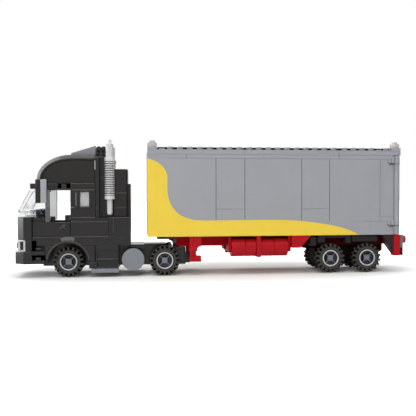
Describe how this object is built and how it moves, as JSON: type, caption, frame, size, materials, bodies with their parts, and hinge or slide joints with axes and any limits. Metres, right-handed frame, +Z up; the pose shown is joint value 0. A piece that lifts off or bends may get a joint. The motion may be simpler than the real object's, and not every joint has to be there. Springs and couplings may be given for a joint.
{
  "type": "toy articulated truck",
  "caption": "Toy articulated truck of interlocking bricks: black sleeper-cab tractor on a kingpin with a grey box semi-trailer, yellow wave stripe, red underframe and opening rear doors.",
  "frame": {"origin": "middle of the footprint on the ground: halfway between the bumper's front and the tail lamps, on the centre line", "axes": "+X towards the rear, +Z up, +Y to the truck's right"},
  "size_m": [0.3248, 0.0542, 0.1107],
  "materials": {
    "tyre_rubber": "matt moulded rubber",
    "wheel_grey": "satin moulded plastic",
    "black_plastic": "gloss moulded plastic",
    "dark_grey_plastic": "gloss moulded plastic",
    "mid_grey_plastic": "gloss moulded plastic",
    "light_grey_plastic": "gloss moulded plastic",
    "silver_plastic": "satin silver-white moulded plastic",
    "red_plastic": "gloss moulded plastic",
    "clear_plastic": "clear moulded plastic",
    "clear_red_plastic": "clear red moulded plastic"
  },
  "bodies": {
    "tractor": {"tractor_frame": "black_plastic", "tractor_axles": "dark_grey_plastic", "kingpin": "dark_grey_plastic", "tank_covers": "mid_grey_plastic", "front_bumper": "black_plastic", "headlamps": "clear_plastic", "front_panel": "black_plastic", "cab_floor": "black_plastic", "wheel_arches": "black_plastic", "step_boxes": "black_plastic", "step_tiles": "mid_grey_plastic", "cab_side_walls": "black_plastic", "sleeper_glass": "clear_plastic", "rear_cab": "black_plastic", "pillars": "dark_grey_plastic", "windscreen": "clear_plastic", "cab_interior": "black_plastic", "cab_roof": "black_plastic", "eave_plates": "black_plastic", "sun_visor": "black_plastic", "wind_deflector": "dark_grey_plastic", "roof_cylinders": "black_plastic", "exhausts": "silver_plastic", "mirrors": "black_plastic"},
    "trailer": {"trailer_wall_right": "light_grey_plastic", "trailer_wall_left": "light_grey_plastic", "trailer_front_wall": "light_grey_plastic", "trailer_floor": "light_grey_plastic", "trailer_roof": "light_grey_plastic", "corner_lamps": "clear_plastic", "trailer_frame": "red_plastic", "trailer_axles": "dark_grey_plastic", "landing_legs": "red_plastic", "trailer_tanks": "red_plastic", "mudguards": "dark_grey_plastic", "slope_brackets": "red_plastic", "rear_bumper": "red_plastic", "trailer_brackets": "black_plastic", "tail_lamps": "clear_red_plastic"},
    "cab_door_left": {"door_left": "black_plastic"},
    "cab_door_right": {"door_right": "black_plastic"},
    "hold_door_left": {"rear_door_left": "light_grey_plastic"},
    "hold_door_right": {"rear_door_right": "light_grey_plastic"},
    "wheel_steer_left": {"tyre_steer_left": "tyre_rubber", "rim_steer_left": "wheel_grey"},
    "wheel_steer_right": {"tyre_steer_right": "tyre_rubber", "rim_steer_right": "wheel_grey"},
    "wheel_drive_left": {"tyre_drive_left": "tyre_rubber", "rim_drive_left": "wheel_grey"},
    "wheel_drive_right": {"tyre_drive_right": "tyre_rubber", "rim_drive_right": "wheel_grey"},
    "wheel_tandem_front_left": {"tyre_tandem_front_left": "tyre_rubber", "rim_tandem_front_left": "wheel_grey"},
    "wheel_tandem_front_right": {"tyre_tandem_front_right": "tyre_rubber", "rim_tandem_front_right": "wheel_grey"},
    "wheel_tandem_rear_left": {"tyre_tandem_rear_left": "tyre_rubber", "rim_tandem_rear_left": "wheel_grey"},
    "wheel_tandem_rear_right": {"tyre_tandem_rear_right": "tyre_rubber", "rim_tandem_rear_right": "wheel_grey"}
  },
  "joints": [
    {"name": "trailer_swing", "type": "hinge", "parent": "tractor", "child": "trailer", "pos_m": [-0.033, 0, 0.0265], "axis": [0, 0, 1], "range_deg": [-40, 40]},
    {"name": "cab_door_left_hinge", "type": "hinge", "parent": "tractor", "child": "cab_door_left", "pos_m": [-0.1465, -0.0224, 0.0389], "axis": [0, 0, -1], "range_deg": [0, 75]},
    {"name": "cab_door_right_hinge", "type": "hinge", "parent": "tractor", "child": "cab_door_right", "pos_m": [-0.1465, 0.0224, 0.0389], "axis": [0, 0, 1], "range_deg": [0, 75]},
    {"name": "hold_door_left_hinge", "type": "hinge", "parent": "trailer", "child": "hold_door_left", "pos_m": [0.1542, -0.0211, 0.0656], "axis": [0, 0, -1], "range_deg": [0, 170]},
    {"name": "hold_door_right_hinge", "type": "hinge", "parent": "trailer", "child": "hold_door_right", "pos_m": [0.1542, 0.0211, 0.0656], "axis": [0, 0, 1], "range_deg": [0, 170]},
    {"name": "wheel_steer_left_spin", "type": "hinge", "parent": "tractor", "child": "wheel_steer_left", "pos_m": [-0.12028, -0.0172, 0.0124], "axis": [0, -1, 0], "continuous": true},
    {"name": "wheel_steer_right_spin", "type": "hinge", "parent": "tractor", "child": "wheel_steer_right", "pos_m": [-0.12028, 0.0172, 0.0124], "axis": [0, -1, 0], "continuous": true},
    {"name": "wheel_drive_left_spin", "type": "hinge", "parent": "tractor", "child": "wheel_drive_left", "pos_m": [-0.04292, -0.0172, 0.0124], "axis": [0, -1, 0], "continuous": true},
    {"name": "wheel_drive_right_spin", "type": "hinge", "parent": "tractor", "child": "wheel_drive_right", "pos_m": [-0.04292, 0.0172, 0.0124], "axis": [0, -1, 0], "continuous": true},
    {"name": "wheel_tandem_front_left_spin", "type": "hinge", "parent": "trailer", "child": "wheel_tandem_front_left", "pos_m": [0.09708, -0.0172, 0.0124], "axis": [0, -1, 0], "continuous": true},
    {"name": "wheel_tandem_front_right_spin", "type": "hinge", "parent": "trailer", "child": "wheel_tandem_front_right", "pos_m": [0.09708, 0.0172, 0.0124], "axis": [0, -1, 0], "continuous": true},
    {"name": "wheel_tandem_rear_left_spin", "type": "hinge", "parent": "trailer", "child": "wheel_tandem_rear_left", "pos_m": [0.12908, -0.0172, 0.0124], "axis": [0, -1, 0], "continuous": true},
    {"name": "wheel_tandem_rear_right_spin", "type": "hinge", "parent": "trailer", "child": "wheel_tandem_rear_right", "pos_m": [0.12908, 0.0172, 0.0124], "axis": [0, -1, 0], "continuous": true}
  ]
}
